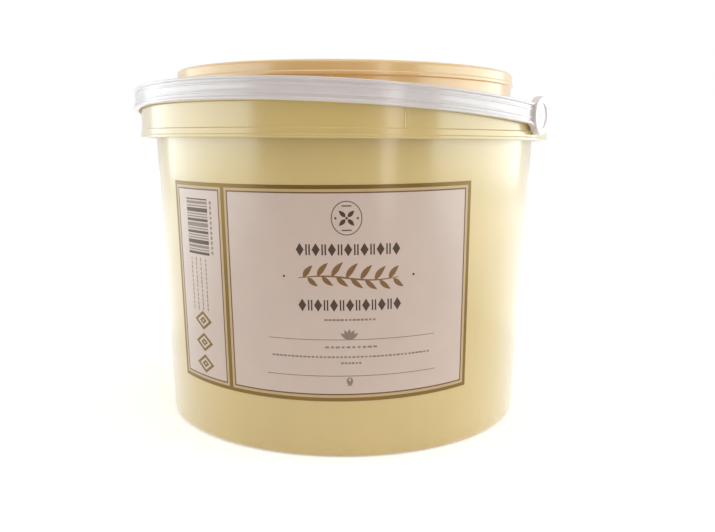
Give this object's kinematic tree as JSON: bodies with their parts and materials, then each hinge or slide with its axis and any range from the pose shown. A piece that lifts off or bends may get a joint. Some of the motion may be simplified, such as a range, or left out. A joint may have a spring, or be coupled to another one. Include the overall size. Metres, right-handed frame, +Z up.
{
  "type": "mustard tub",
  "caption": "Short wide food tub with a tapered body, an overhanging collar, a raised press-down lid, a wrap-round label and a swinging strap handle laid down at the front.",
  "frame": {"origin": "on the tub's axis, in the plane of the foot it stands on", "axes": "+Z up along the tub's axis, -Y out through the front of the label, +X to the right of the label seen from the front"},
  "size_m": [0.1792, 0.1791, 0.1457],
  "materials": {
    "tub_plastic": "satin",
    "lid_plastic": "satin",
    "handle_plastic": "satin",
    "label_film": "matte"
  },
  "bodies": {
    "tub": {"tub": "tub_plastic", "lid": "lid_plastic", "label": "label_film"},
    "handle": {"handle": "handle_plastic"}
  },
  "joints": [
    {"name": "handle_swing", "type": "hinge", "parent": "tub", "child": "handle", "pos_m": [0, 0, 0.1274], "axis": [-0.829, 0.5592, 0], "range_deg": [0, 170]}
  ]
}
